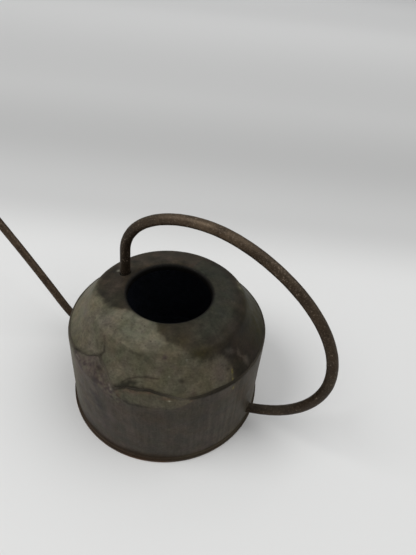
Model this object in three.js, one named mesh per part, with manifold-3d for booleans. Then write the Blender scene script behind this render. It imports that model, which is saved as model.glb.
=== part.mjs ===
// A small brass watering can: a squat sheet-metal body with a sloping shoulder and an open round
// mouth, one long thin spout, and one round-bar handle that loops from the crown to the foot.
// Millimetres, +Z up. The origin is the centre of the flat underside, the handle's grip is on +X
// and the spout is on -X. Everything except the wall's own seam is symmetric about the XZ plane.
import * as THREE from 'three';
import { mergeVertices } from 'three/addons/utils/BufferGeometryUtils.js';
import Module from 'manifold-3d';

// ---- Driving dimensions ----------------------------------------------------------------------
const SHEET = 0.8;                  // thickness of the body's sheet
const GAP = 0.3;                    // clearance between neighbouring pieces

const FOOT_RADIUS = 81.6;           // outside of the wall at the bottom
const SHOULDER_RADIUS = 80.4;       // outside of the wall at the top
const SHOULDER_HEIGHT = 79.2;
const RIM_RADIUS = 83.5;            // outside of the base pan's hemmed rim
const RIM_HEIGHT = 4;
const RIM_CORNER = 1.2;             // rounding where the rim meets the underside
const HEM_ROUNDING = 0.45;          // rounding of the hem's edge, as a share of the hem's thickness

const FLANGE_DEPTH = 9;             // how far the top shell's edge is tucked into the wall
const FLANGE_BEND = 2;              // rounding between the flange and the cone
const CONE_WAIST = { radius: 69.3, height: 91.3, rounding: 60 };    // the cone is slightly hollow
const CREASE = { radius: 60, height: 105, rounding: 7 };            // soft bend below the crown
const CROWN_EDGE = { radius: 39, height: 109.2, rounding: 20 };     // where the lip starts to roll
const MOUTH_RADIUS = 33.2;
const MOUTH_HEIGHT = 109.6;
const LIP_ROLL = 3;
const LIP_DEPTH = 6;                // how far the lip turns down into the mouth

const SEAM_ANGLE = THREE.MathUtils.degToRad(-21);   // the wall's butt seam, seen from above
const SEAM_WIDTH = 1.4;
const BEAD_EDGE = 0.3;              // thickness of a solder bead where it runs out
const SHOULDER_BEAD_HEIGHT = 1;
const BASE_BEAD_HEIGHT = 1.2;
const CONE_CLEARANCE = 1.5 * GAP;   // level distance that leaves the gap square to the sloping cone

const HANDLE_DIAMETER = 8.4;
const SPOUT_DIAMETER = 7.5;
const SPOUT_WALL = 0.8;
const SPOUT_HEIGHT = 15;            // centre of the spout's root above the underside
const SPOUT_REACH_INSIDE = 3;       // how far the spout's root stands inside the wall

const FILLET_SPREAD = 1;            // brazed fillets: width on the body ...
const FILLET_RISE = 1.2;            // ... and height above it
const FILLET_EDGE = 0.25;           // thickness of a fillet where it runs out

const CUT_DEPTH = 20;               // length of the blocks and cylinders that cut through the wall
const RUN_IN = 5;                   // how far the bar runs on into the body before it is trimmed

// Centrelines in the XZ plane, as chains of cubic curves: each later trio is two handles and an end.
const HANDLE_FOOT = [-43, 108.4];
const HANDLE_STRAIGHT_END = [-42, 131];
const HANDLE_BENDS = [
  [[-41, 158], [-9.5, 180], [30, 180]],
  [[70.5, 180], [135, 144.5], [135, 87]],
  [[135, 74], [130, 37], [81.4, 15]],
];
const SPOUT_BENDS = [
  [[-101, SPOUT_HEIGHT], [-112, 22], [-121, 31.5]],
  [[-159, 75], [-196, 112], [-238, 149]],
  [[-246, 156], [-253, 159.5], [-262, 161]],
];
const SPOUT_ROOT_STRAIGHT = 6;      // straight stretch outside the wall before the first bend
const SPOUT_TIP_STRAIGHT = 7;

// Facets: turns around the body, and sides and lengthwise steps of the bar and the tube.
const BODY_SEGMENTS = 64;
const FILLET_SEGMENTS = 20;
const FILLET_SIDE_STEPS = 3;
const TUBE_SIDES = 12;
const HANDLE_STEPS = 76;
const SPOUT_STEPS = 44;
const TURN_PER_STEP = 40;           // degrees of bend in an outline for each facet of its rounding
const SMALLEST_ROUNDING = 0.1;
const MERGE_DISTANCE = 1e-4;        // vertices closer than this are one

// ---- Materials -------------------------------------------------------------------------------
const material = (color, roughness, metalness) =>
  new THREE.MeshStandardMaterial({ color, roughness, metalness });

const patina = () => material(0x4a463b, 0.55, 0.7);
const copperRim = () => material(0x57402c, 0.5, 0.8);
const barBrown = () => material(0x3d3024, 0.5, 0.75);
const solder = () => material(0x2b2620, 0.6, 0.6);

// ---- Outlines --------------------------------------------------------------------------------
// A corner is [radius from the axis, height, rounding]; a rounding of zero stays sharp.
function roundCorners(corners, closed) {
  const points = [];
  const count = corners.length;
  corners.forEach(([x, y, rounding], index) => {
    const here = new THREE.Vector2(x, y);
    const atEnd = !closed && (index === 0 || index === count - 1);
    if (atEnd || !rounding) {
      points.push(here);
      return;
    }
    const before = new THREE.Vector2(...corners[(index + count - 1) % count].slice(0, 2));
    const after = new THREE.Vector2(...corners[(index + 1) % count].slice(0, 2));
    const back = before.clone().sub(here);
    const ahead = after.clone().sub(here);
    const opening = Math.acos(back.dot(ahead) / (back.length() * ahead.length()));
    const wanted = rounding / Math.tan(opening / 2);
    const reach = Math.min(wanted, back.length() / 2, ahead.length() / 2);
    const start = here.clone().addScaledVector(back.normalize(), reach);
    const end = here.clone().addScaledVector(ahead.normalize(), reach);
    const turn = 180 - THREE.MathUtils.radToDeg(opening);
    const bend = new THREE.QuadraticBezierCurve(start, here, end);
    points.push(...bend.getPoints(Math.ceil(turn / TURN_PER_STEP)));
  });
  return points;
}

// The same line moved sideways, to its left as it is walked.
function moveAside(corners, distance) {
  return corners.map(([x, y, rounding], index) => {
    const before = corners[Math.max(index - 1, 0)];
    const after = corners[Math.min(index + 1, corners.length - 1)];
    const arriving = new THREE.Vector2(x - before[0], y - before[1]);
    const leaving = new THREE.Vector2(after[0] - x, after[1] - y);
    if (index === 0) arriving.copy(leaving);
    if (index === corners.length - 1) leaving.copy(arriving);
    arriving.normalize();
    leaving.normalize();
    const middle = new THREE.Vector2(-arriving.y - leaving.y, arriving.x + leaving.x).normalize();
    const stretch = 1 / (middle.x * -arriving.y + middle.y * arriving.x);
    const turn = arriving.cross(leaving);
    const inside = turn * distance > 0;
    const change = rounding ? Math.abs(distance) * (inside ? -1 : 1) : 0;
    const newRounding = rounding ? Math.max(rounding + change, SMALLEST_ROUNDING) : 0;
    return [x + middle.x * stretch * distance, y + middle.y * stretch * distance, newRounding];
  });
}

// The closed outline of a sheet whose outer face follows the given corners.
function sheetOutline(corners, thickness) {
  const outer = roundCorners(corners, false);
  const inner = roundCorners(moveAside(corners, thickness), false);
  return [...outer, ...inner.reverse()];
}

// ---- Solids ----------------------------------------------------------------------------------
const wasm = await Module();
wasm.setup();

function signedArea(points) {
  return points.reduce((sum, point, index) => {
    const next = points[(index + 1) % points.length];
    return sum + (point.x * next.y - next.x * point.y) / 2;
  }, 0);
}

// Turns an outline of (radius, height) points around +Z. The outline closes on itself.
function revolve(points, segments = BODY_SEGMENTS) {
  const ordered = signedArea(points) > 0 ? points : [...points].reverse();
  const onAxis = ordered.findIndex((point, index) => {
    const previous = ordered[(index + ordered.length - 1) % ordered.length];
    return point.x === 0 && previous.x === 0;
  });
  const profile = onAxis >= 0
    ? [...ordered.slice(onAxis), ...ordered.slice(0, onAxis)]
    : [...ordered, ordered[0]];
  const geometry = new THREE.LatheGeometry(profile, segments);
  return geometry.rotateX(Math.PI / 2);
}

function toSolid(geometry) {
  const bare = geometry.clone();
  bare.deleteAttribute('normal');
  bare.deleteAttribute('uv');
  const merged = mergeVertices(bare, MERGE_DISTANCE);
  const vertProperties = Float32Array.from(merged.attributes.position.array);
  const triVerts = Uint32Array.from(merged.index.array);
  return new wasm.Manifold(new wasm.Mesh({ numProp: 3, vertProperties, triVerts }));
}

function toGeometry(solid) {
  const mesh = solid.getMesh();
  const geometry = new THREE.BufferGeometry();
  geometry.setAttribute('position', new THREE.BufferAttribute(mesh.vertProperties, 3));
  geometry.setIndex(new THREE.BufferAttribute(mesh.triVerts, 1));
  geometry.computeVertexNormals();
  return geometry;
}

const cut = (geometry, ...tools) =>
  toGeometry(tools.reduce((solid, tool) => solid.subtract(toSolid(tool)), toSolid(geometry)));

const common = (geometry, tool) => toGeometry(toSolid(geometry).intersect(toSolid(tool)));

// ---- Paths -----------------------------------------------------------------------------------
const inPlane = ([x, z]) => new THREE.Vector3(x, 0, z);

function addBends(path, from, bends) {
  let start = from;
  for (const [first, second, end] of bends) {
    path.add(new THREE.CubicBezierCurve3(...[start, first, second, end].map(inPlane)));
    start = end;
  }
}

function sweep(path, radius, steps, boreRadius = 0) {
  const section = new THREE.Shape().absarc(0, 0, radius, 0, Math.PI * 2);
  if (boreRadius) {
    section.holes.push(new THREE.Path().absarc(0, 0, boreRadius, 0, Math.PI * 2, true));
  }
  return new THREE.ExtrudeGeometry(section, {
    steps, extrudePath: path, curveSegments: TUBE_SIDES / 2, bevelEnabled: false,
  });
}

// ---- The body's shared lines -----------------------------------------------------------------
const wallRadiusAt = (height) =>
  FOOT_RADIUS + (SHOULDER_RADIUS - FOOT_RADIUS) * (height / SHOULDER_HEIGHT);

const WALL_BOTTOM = SHEET + GAP;
const WALL_CORNERS = [
  [wallRadiusAt(WALL_BOTTOM), WALL_BOTTOM, 0],
  [SHOULDER_RADIUS, SHOULDER_HEIGHT, 0],
];

const FLANGE_RADIUS = SHOULDER_RADIUS - SHEET - GAP;
const TOP_CORNERS = [
  [FLANGE_RADIUS, SHOULDER_HEIGHT - FLANGE_DEPTH, 0],
  [FLANGE_RADIUS, SHOULDER_HEIGHT + GAP, FLANGE_BEND],
  [CONE_WAIST.radius, CONE_WAIST.height, CONE_WAIST.rounding],
  [CREASE.radius, CREASE.height, CREASE.rounding],
  [CROWN_EDGE.radius, CROWN_EDGE.height, CROWN_EDGE.rounding],
  [MOUTH_RADIUS + LIP_ROLL, MOUTH_HEIGHT, LIP_ROLL],
  [MOUTH_RADIUS, MOUTH_HEIGHT - LIP_ROLL / 2, LIP_ROLL],
  [MOUTH_RADIUS, MOUTH_HEIGHT - LIP_DEPTH, 0],
];

// A solid of everything inside the closed body, grown by a clearance, to trim what meets it.
function bodyEnvelope(clearance) {
  const top = TOP_CORNERS.slice(1, 6);      // from the cone's foot to the lip's highest corner
  const line = [[FOOT_RADIUS, 0, 0], ...WALL_CORNERS.slice(1), ...top];
  const grown = roundCorners(moveAside(line, -clearance), false);
  const last = grown[grown.length - 1];
  return revolve([
    new THREE.Vector2(0, 0), ...grown, new THREE.Vector2(0, last.y),
  ]);
}

// ---- Pieces ----------------------------------------------------------------------------------
function basePan() {
  const hemInside = FOOT_RADIUS + GAP;
  const hemRound = (RIM_RADIUS - hemInside) * HEM_ROUNDING;
  return revolve(roundCorners([
    [0, 0, 0],
    [RIM_RADIUS, 0, RIM_CORNER],
    [RIM_RADIUS, RIM_HEIGHT, hemRound],
    [hemInside, RIM_HEIGHT, hemRound],
    [hemInside, SHEET, 0],
    [0, SHEET, 0],
  ], true));
}

const wallRing = () => revolve(sheetOutline(WALL_CORNERS, SHEET));

// An upright block across the wall at its seam, reaching past the wall's top.
function seamBlock(width) {
  const block = new THREE.BoxGeometry(CUT_DEPTH, width, 2 * SHOULDER_HEIGHT + CUT_DEPTH);
  block.translate(FOOT_RADIUS, 0, 0);
  return block.rotateZ(SEAM_ANGLE);
}

function spoutHole() {
  const radius = SPOUT_DIAMETER / 2 + GAP;
  const hole = new THREE.CylinderGeometry(radius, radius, CUT_DEPTH, TUBE_SIDES * 2);
  return hole.rotateZ(Math.PI / 2).translate(-FOOT_RADIUS, 0, SPOUT_HEIGHT);
}

const bodyWall = () => cut(wallRing(), seamBlock(SEAM_WIDTH + 2 * GAP), spoutHole());

const wallSeam = () => common(wallRing(), seamBlock(SEAM_WIDTH));

const topShell = () => revolve(sheetOutline(TOP_CORNERS, SHEET));

// A bead lying in the corner between the wall's top edge and the cone.
function shoulderSolder() {
  const low = SHOULDER_HEIGHT + GAP;
  const high = low + SHOULDER_BEAD_HEIGHT;
  const slope = (CONE_WAIST.radius - FLANGE_RADIUS) / (CONE_WAIST.height - SHOULDER_HEIGHT);
  const inside = FLANGE_RADIUS + CONE_CLEARANCE;
  const insideHigh = inside + slope * SHOULDER_BEAD_HEIGHT;
  return revolve([
    new THREE.Vector2(inside, low),
    new THREE.Vector2(SHOULDER_RADIUS, low),
    new THREE.Vector2(insideHigh + BEAD_EDGE, high),
    new THREE.Vector2(insideHigh, high),
  ]);
}

// A fillet lying on the hem's top edge against the wall.
function baseSolder() {
  const low = RIM_HEIGHT + GAP;
  const high = low + BASE_BEAD_HEIGHT;
  const inside = wallRadiusAt(low) + GAP;
  return revolve([
    new THREE.Vector2(inside, low),
    new THREE.Vector2(RIM_RADIUS - SHEET, low),
    new THREE.Vector2(inside + BEAD_EDGE, high),
    new THREE.Vector2(inside, high),
  ]);
}

function spoutPath() {
  const insideEnd = [-wallRadiusAt(SPOUT_HEIGHT) + SHEET + SPOUT_REACH_INSIDE, SPOUT_HEIGHT];
  const bendStart = [-wallRadiusAt(SPOUT_HEIGHT) - SPOUT_ROOT_STRAIGHT, SPOUT_HEIGHT];
  const path = new THREE.CurvePath();
  path.add(new THREE.LineCurve3(inPlane(insideEnd), inPlane(bendStart)));
  addBends(path, bendStart, SPOUT_BENDS);
  const [, lastHandle, tip] = SPOUT_BENDS[SPOUT_BENDS.length - 1].map(inPlane);
  const heading = tip.clone().sub(lastHandle).normalize();
  path.add(new THREE.LineCurve3(tip, tip.clone().addScaledVector(heading, SPOUT_TIP_STRAIGHT)));
  return path;
}

const spoutTube = () =>
  sweep(spoutPath(), SPOUT_DIAMETER / 2, SPOUT_STEPS, SPOUT_DIAMETER / 2 - SPOUT_WALL);

// The bar runs a little way into the body at both ends, and the body's outside trims it there.
function handlePath() {
  const foot = inPlane(HANDLE_FOOT);
  const straightEnd = inPlane(HANDLE_STRAIGHT_END);
  const down = foot.clone().sub(straightEnd).normalize();
  const path = new THREE.CurvePath();
  path.add(new THREE.LineCurve3(foot.clone().addScaledVector(down, RUN_IN), straightEnd));
  addBends(path, HANDLE_STRAIGHT_END, HANDLE_BENDS);
  const [, lastHandle, end] = HANDLE_BENDS[HANDLE_BENDS.length - 1].map(inPlane);
  const heading = end.clone().sub(lastHandle).normalize();
  path.add(new THREE.LineCurve3(end, end.clone().addScaledVector(heading, RUN_IN)));
  return path;
}

const handleBar = () =>
  cut(sweep(handlePath(), HANDLE_DIAMETER / 2, HANDLE_STEPS), bodyEnvelope(GAP));

const pointAlong = (geometry, heading) => geometry.applyQuaternion(
  new THREE.Quaternion().setFromUnitVectors(new THREE.Vector3(0, 0, 1), heading));

// A hollow-sided fillet where a bar meets the body: a low cone standing square on the body's face,
// with a clear hole along the bar, trimmed by the body's outside.
function brazedFillet(barDiameter, point, heading, faceNormal) {
  const holeRadius = barDiameter / 2 + GAP;
  const top = holeRadius / heading.dot(faceNormal) + FILLET_EDGE;
  const foot = top + FILLET_SPREAD;
  const side = new THREE.QuadraticBezierCurve(
    new THREE.Vector2(foot, FILLET_EDGE),
    new THREE.Vector2(top, FILLET_EDGE),
    new THREE.Vector2(top, FILLET_RISE),
  );
  const cone = revolve([
    new THREE.Vector2(0, -RUN_IN),
    new THREE.Vector2(foot, -RUN_IN),
    ...side.getPoints(FILLET_SIDE_STEPS),
    new THREE.Vector2(0, FILLET_RISE),
  ], FILLET_SEGMENTS);
  const hole = new THREE.CylinderGeometry(holeRadius, holeRadius, CUT_DEPTH, TUBE_SIDES * 2);
  hole.rotateX(Math.PI / 2);
  for (const [shape, direction] of [[cone, faceNormal], [hole, heading]]) {
    pointAlong(shape, direction).translate(point.x, point.y, point.z);
  }
  return cut(cone, hole, bodyEnvelope(GAP));
}

function handleTopFillet() {
  const foot = inPlane(HANDLE_FOOT);
  const heading = inPlane(HANDLE_STRAIGHT_END).sub(foot).normalize();
  const crownRise = CROWN_EDGE.height - CREASE.height;
  const crownNormal = inPlane([-crownRise, CREASE.radius - CROWN_EDGE.radius]).normalize();
  return brazedFillet(HANDLE_DIAMETER, foot, heading, crownNormal);
}

function handleBottomFillet() {
  const [, lastHandle, end] = HANDLE_BENDS[HANDLE_BENDS.length - 1].map(inPlane);
  const heading = lastHandle.clone().sub(end).normalize();
  return brazedFillet(HANDLE_DIAMETER, end, heading, new THREE.Vector3(1, 0, 0));
}

function spoutFillet() {
  const root = inPlane([-wallRadiusAt(SPOUT_HEIGHT), SPOUT_HEIGHT]);
  const heading = new THREE.Vector3(-1, 0, 0);
  return brazedFillet(SPOUT_DIAMETER, root, heading, heading);
}

// ---- The assembly ----------------------------------------------------------------------------
function piece(name, geometry, surface) {
  const mesh = new THREE.Mesh(geometry, surface);
  mesh.name = name;
  return mesh;
}

const body = new THREE.Group();
body.add(
  piece('base_pan', basePan(), copperRim()),
  piece('base_seam_solder', baseSolder(), solder()),
  piece('body_wall', bodyWall(), patina()),
  piece('wall_seam_braze', wallSeam(), solder()),
  piece('top_shell', topShell(), patina()),
  piece('shoulder_seam_solder', shoulderSolder(), solder()),
);

const spout = new THREE.Group();
spout.add(
  piece('spout_tube', spoutTube(), barBrown()),
  piece('spout_root_fillet', spoutFillet(), solder()),
);

const handle = new THREE.Group();
handle.add(
  piece('handle_bar', handleBar(), barBrown()),
  piece('handle_top_fillet', handleTopFillet(), solder()),
  piece('handle_bottom_fillet', handleBottomFillet(), solder()),
);

const wateringCan = new THREE.Group();
wateringCan.add(body, spout, handle);

export default wateringCan;
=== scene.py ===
"""Looks for the brass watering can: fine meshes with their dents, patina, floor, light and camera.

Everything is in the CAD frame, in metres. Lengths inside the mesh code are in millimetres and
angles round the body are in degrees, counted from +X (the handle) towards +Y, as seen from above.
"""

import math
from collections import defaultdict

import bmesh
import bpy
import numpy as np
from mathutils import Matrix, Vector


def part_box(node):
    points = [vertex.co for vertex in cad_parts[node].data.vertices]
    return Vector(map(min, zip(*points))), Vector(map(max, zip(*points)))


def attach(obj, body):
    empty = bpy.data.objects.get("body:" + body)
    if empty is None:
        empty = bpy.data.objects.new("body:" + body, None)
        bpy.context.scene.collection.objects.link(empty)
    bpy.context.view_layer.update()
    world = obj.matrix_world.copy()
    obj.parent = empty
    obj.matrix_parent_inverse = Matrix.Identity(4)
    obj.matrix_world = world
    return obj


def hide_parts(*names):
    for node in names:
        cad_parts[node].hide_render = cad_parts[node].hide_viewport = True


MM = 0.001
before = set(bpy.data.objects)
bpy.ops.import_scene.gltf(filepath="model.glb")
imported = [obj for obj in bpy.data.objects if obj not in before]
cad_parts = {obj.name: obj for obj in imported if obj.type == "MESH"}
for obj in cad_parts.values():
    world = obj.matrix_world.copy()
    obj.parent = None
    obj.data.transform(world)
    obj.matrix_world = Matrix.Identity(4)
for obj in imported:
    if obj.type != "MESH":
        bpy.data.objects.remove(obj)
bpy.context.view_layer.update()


# ---- What the frame says ----

def meridian(node):
    """The closed outline, as (radius, height) in mm, that a turned CAD node has at X = 0, Y > 0."""
    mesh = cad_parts[node].data
    links = defaultdict(set)

    def corner(index):
        place = mesh.vertices[index].co
        if abs(place.x) > 1e-6 or place.y <= 0:
            return None
        return round(place.y / MM, 3), round(place.z / MM, 3)

    for polygon in mesh.polygons:
        corners = [corner(index) for index in polygon.vertices]
        for here, there in zip(corners, corners[1:] + corners[:1]):
            if here and there and here != there:
                links[here].add(there)
                links[there].add(here)
    walk = [max(links)]
    while True:
        ahead = sorted(links[walk[-1]] - set(walk))
        if not ahead:
            return np.array(walk)
        walk.append(ahead[0])


def outer_side(loop, start, end):
    """The stretch of a closed outline between two of its corners that lies further out."""
    first = int(np.argmin(np.linalg.norm(loop - start, axis=1)))
    turned = np.roll(loop, -first, axis=0)
    last = int(np.argmin(np.linalg.norm(turned - end, axis=1)))
    one_way = turned[:last + 1]
    other_way = np.vstack([turned[:1], turned[last:][::-1]])
    return one_way if one_way.sum(axis=1).mean() > other_way.sum(axis=1).mean() else other_way


def radius_of(node):
    """The radius in mm of a CAD bar or tube that lies in the plane Y = 0."""
    low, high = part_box(node)
    return (high.y - low.y) / MM / 2


def centreline(node, start):
    """The middle of a round CAD bar, in the plane Y = 0, as (x, z) in mm, from the end near start.
    It lies halfway between each two of the bar's edge points that are one diameter apart."""
    places = [vertex.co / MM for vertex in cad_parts[node].data.vertices]
    flat = np.array(sorted({(round(p.x, 3), round(p.z, 3)) for p in places if abs(p.y) < 1e-3}))
    gaps = np.linalg.norm(flat[:, None] - flat[None], axis=2)
    pairs = np.argwhere(np.triu(np.abs(gaps - 2 * radius_of(node)) < 0.02))
    left = list(flat[pairs].mean(axis=1))
    chain = [np.array(start, float)]
    while left:
        nearest = int(np.argmin([np.linalg.norm(point - chain[-1]) for point in left]))
        chain.append(left.pop(nearest))
    return np.array(chain[1:])


# ---- Numbers on lines and surfaces ----

def lengths_along(line):
    """The distance of each point of a line from its first point."""
    return np.concatenate([[0], np.cumsum(np.linalg.norm(np.diff(line, axis=0), axis=1))])


def unit(vectors):
    return vectors / np.linalg.norm(vectors, axis=-1)[..., None]


def interpolate(places, knots, points):
    """Points at places on the straight lines between the given points, which are at the knots."""
    return np.stack([np.interp(places, knots, column) for column in points.T], axis=-1)


def resample(points, step):
    """Points a step apart on a smooth curve through the given points."""
    points = np.asarray(points, float)
    knots = lengths_along(points)
    gaps = np.diff(knots)
    slopes = np.gradient(points, knots, axis=0)
    places = np.linspace(0, knots[-1], int(round(knots[-1] / step)) + 1)
    span = np.clip(np.searchsorted(knots, places, side="right") - 1, 0, len(gaps) - 1)
    t = ((places - knots[span]) / gaps[span])[:, None]
    length = gaps[span][:, None]
    return ((2 * t ** 3 - 3 * t ** 2 + 1) * points[span]
            + (t ** 3 - 2 * t ** 2 + t) * length * slopes[span]
            + (3 * t ** 2 - 2 * t ** 3) * points[span + 1]
            + (t ** 3 - t ** 2) * length * slopes[span + 1])


def soften(points, step, rounding):
    """Points a step apart on the straight lines between the given points, with rounded corners."""
    points = np.asarray(points, float)
    knots = lengths_along(points)
    places = np.linspace(0, knots[-1], int(round(knots[-1] / step)) + 1)
    line = interpolate(places, knots, points)
    reach = int(round(rounding / step))
    padded = np.concatenate([
        2 * line[0] - line[reach:0:-1], line, 2 * line[-1] - line[-2:-reach - 2:-1]])
    window = np.ones(2 * reach + 1) / (2 * reach + 1)
    return np.stack([np.convolve(padded[:, axis], window, "valid") for axis in (0, 1)], axis=1)


def sideways(line):
    """The unit normal on the left of a plane line at each of its points."""
    ahead = unit(np.gradient(line, axis=0))
    return np.stack([-ahead[:, 1], ahead[:, 0]], axis=1)


def ramp(low, high, value):
    """Runs smoothly from zero where the value is low to one where it is high."""
    t = np.clip((value - low) / (high - low), 0, 1)
    return t * t * (3 - 2 * t)


def bell(value, centre, width):
    """One at the centre, and falling to a third of that a width away from it."""
    return np.exp(-((value - centre) / width) ** 2)


def turned(azimuths, radius, height):
    """The point at each azimuth, radius and height."""
    turn = np.radians(azimuths)
    return np.stack(np.broadcast_arrays(radius * np.cos(turn), radius * np.sin(turn), height), axis=-1)


LATTICE = np.random.default_rng(41).random((32, 32, 32))


def cloud(points, size, octaves):
    """Soft noise around zero, about -1 to 1, at points in mm, with blobs of the given size."""
    total = 0
    weights = 0.5 ** np.arange(octaves)
    for octave, weight in enumerate(weights):
        scaled = points / size * 2 ** octave + 7.3 * octave
        cell = np.floor(scaled).astype(int)
        part = scaled - cell
        part = part * part * (3 - 2 * part)
        for corner in np.ndindex(2, 2, 2):
            index = (cell + corner) % len(LATTICE)
            share = np.prod(np.where(corner, part, 1 - part), axis=-1)
            value = LATTICE[index[..., 0], index[..., 1], index[..., 2]]
            total = total + weight * share * (value - 0.5)
    return 3.2 * total / weights.sum()


# ---- The chart of the body ----
# A place on the body is (azimuth, along): degrees round it, and mm up its outer face from the
# shoulder. So the wall is below zero, the cone ends near 31 and the mouth is near 57.

MM_PER_DEGREE = 1.25


def on_chart(azimuth):
    """The azimuth between -270 and 90 degrees, so that the chart is cut at the back of the can."""
    return (azimuth + 270) % 360 - 270


def near_line(azimuth, along, corners):
    """The distance in mm of each place from a chain of straight lines."""
    places = np.stack(np.broadcast_arrays(azimuth * MM_PER_DEGREE, along), axis=-1)
    chain = np.array(corners, float) * (MM_PER_DEGREE, 1)
    nearest = np.full(places.shape[:-1], np.inf)
    for start, end in zip(chain[:-1], chain[1:]):
        step = end - start
        t = np.clip(((places - start) @ step) / (step @ step), 0, 1)
        nearest = np.minimum(nearest, np.linalg.norm(places - start - t[..., None] * step, axis=-1))
    return nearest


def inside(azimuth, along, corners):
    """The distance in mm of each place inside a closed outline, and below zero outside it."""
    azimuth, along = np.broadcast_arrays(azimuth, along)
    crossings = np.zeros(azimuth.shape, int)
    for (x0, y0), (x1, y1) in zip(corners, corners[1:] + corners[:1]):
        if y0 == y1:
            continue
        spans = (along >= min(y0, y1)) & (along < max(y0, y1))
        crossings += spans & (azimuth < x0 + (along - y0) * (x1 - x0) / (y1 - y0))
    distance = near_line(azimuth, along, corners + corners[:1])
    return np.where(crossings % 2, distance, -distance)


def spot(azimuth, along, oval):
    """One at the centre of a soft oval (azimuth, along, half width, half height), zero far off."""
    x = (azimuth - oval[0]) * MM_PER_DEGREE / oval[2]
    return np.exp(-x * x - ((along - oval[1]) / oval[3]) ** 2)


# ---- The body's shape ----

SHEET = 0.8
LAP = 1.0  # the wall's outer face stands this far off the inner skin
SEAM_HALF_WIDTH = 0.7
BODY_COLUMNS = 640  # steps round the body

# Where the wall's top edge lies on the cone: it was bent over by hand and isn't even.
WALL_EDGE = [
    (-180, 1), (-135, 1.2), (-122, 2.5), (-117, 5), (-110, 9), (-106, 13), (-103, 15), (-100, 12.5),
    (-96, 10.5), (-92, 6), (-88, 2), (-86, 1.2), (-84, 2.4), (-80, 4.8), (-74, 5.3), (-68, 6.2),
    (-63, 4.8), (-58, 3.2), (-54, 1.8), (-50, 0.6), (-46, 0.2), (-42, 0), (-20, 0.2), (0, 0.6),
    (180, 1),
]
# Where the wall starts to lean in, below its edge.
WALL_BEND = [
    (-180, -1.2), (-122, -1.5), (-112, -3), (-100, -4), (-90, -2), (-86, -2), (-83, -6), (-78, -8.5),
    (-62, -8), (-55, -9), (-51, -7), (-47, -3.5), (-44, -1.6), (-36, -1.4), (180, -1.2),
]
# How far the shoulder is beaten flat there: 0 keeps the corner and 1 is a straight facet.
FLATTENING = [
    (-180, 0.2), (-120, 0.2), (-112, 0.6), (-94, 0.6), (-88, 0.3), (-83, 0.8), (-50, 0.8), (-44, 0.2),
    (180, 0.2),
]


def round_body(azimuth, points):
    """The value at each azimuth of a list of (azimuth, value)."""
    places, values = zip(*points)
    return np.interp((azimuth + 180) % 360 - 180, places, values)


def even_azimuths():
    """The seam's azimuth, and azimuths from one edge of the seam round the body to the other."""
    wall_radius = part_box("body_wall")[1].x / MM
    half_gap = math.degrees(SEAM_HALF_WIDTH / wall_radius)
    seam_low, seam_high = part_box("wall_seam_braze")
    seam = math.degrees(math.atan2(seam_low.y + seam_high.y, seam_low.x + seam_high.x))
    return seam, seam + np.linspace(half_gap, 360 - half_gap, BODY_COLUMNS)


SEAM_AZIMUTH, AZIMUTHS = even_azimuths()


def core_line():
    """The outside of the body's inner skin: the wall less the lap, and then the top shell."""
    wall_low, wall_high = meridian("body_wall")[:2]
    loop = meridian("top_shell")
    flange = loop[np.argmax(loop @ (1, -0.001))]
    lip = loop[np.argmin(loop @ (1, 0.001))]
    shell = outer_side(loop, flange, lip)
    wall = [wall_low - (LAP, 0), wall_high - (LAP, 0.8)]
    points = np.vstack([wall, shell[2:]])
    line = soften(points, step=0.1, rounding=0.8)
    return line, lengths_along(line) - np.linalg.norm(points[1] - points[0])


CORE, CORE_ALONG = core_line()
CORE_NORMAL = -sideways(CORE)
WALL_FOOT = CORE_ALONG[0]
LIP_END = CORE_ALONG[-1]
FLANGE_END = -8.5  # the shell is tucked this far into the wall


def core_at(along):
    """Radius and height of the inner skin's outside, and its normal."""
    return interpolate(along, CORE_ALONG, CORE), interpolate(along, CORE_ALONG, CORE_NORMAL)


FOLD_UP_THE_CONE = [(-103, 15), (-101.5, 20), (-104, 26), (-107, 32), (-109, 36)]
THIN_CREASE = [(-84, 7), (-81, 11), (-76, 14), (-70, 15.5), (-64, 15)]
RIGHT_FOLD = [(-18, 24), (-15, 21.5), (-11.5, 19), (-10, 13.5), (-7.5, 7)]
BRASS_FLECK = [(-22.2, 2.6), (-19.6, 9.2)]
# Soft ovals, each with its depth in mm.
HOLLOWS = [
    (-15, 14, 5, 7, 0.4), (-83, 6, 3.5, 3, 0.7), (-97, 6, 5, 4, 0.5), (-75, 20, 22, 9, 0.5),
    (-140, 14, 14, 9, 0.4),
]


def dents(azimuth, along, points):
    """How far each place stands proud of the true shape, in mm."""
    azimuth = on_chart(azimuth)
    free = ramp(WALL_FOOT, WALL_FOOT + 12, along) * (1 - 0.8 * ramp(48, 56, along))
    soft = 0.24 * cloud(points, 36, 2) + 0.07 * cloud(points, 11, 2)
    fold = near_line(azimuth, along, FOLD_UP_THE_CONE)
    step = 0.35 * bell(fold, 0, 7) * np.sign(-103 - 0.25 * (along - 15) - azimuth)
    folds = step * ramp(0, 1.2, fold) - 0.3 * bell(fold, 0, 0.9)
    folds = folds - 0.25 * bell(near_line(azimuth, along, THIN_CREASE), 0, 0.8)
    folds = folds + 0.25 * bell(near_line(azimuth, along, RIGHT_FOLD), 0, 2.2)
    for *oval, depth in HOLLOWS:
        folds = folds - depth * spot(azimuth, along, oval)
    return free * soft + folds


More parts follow.
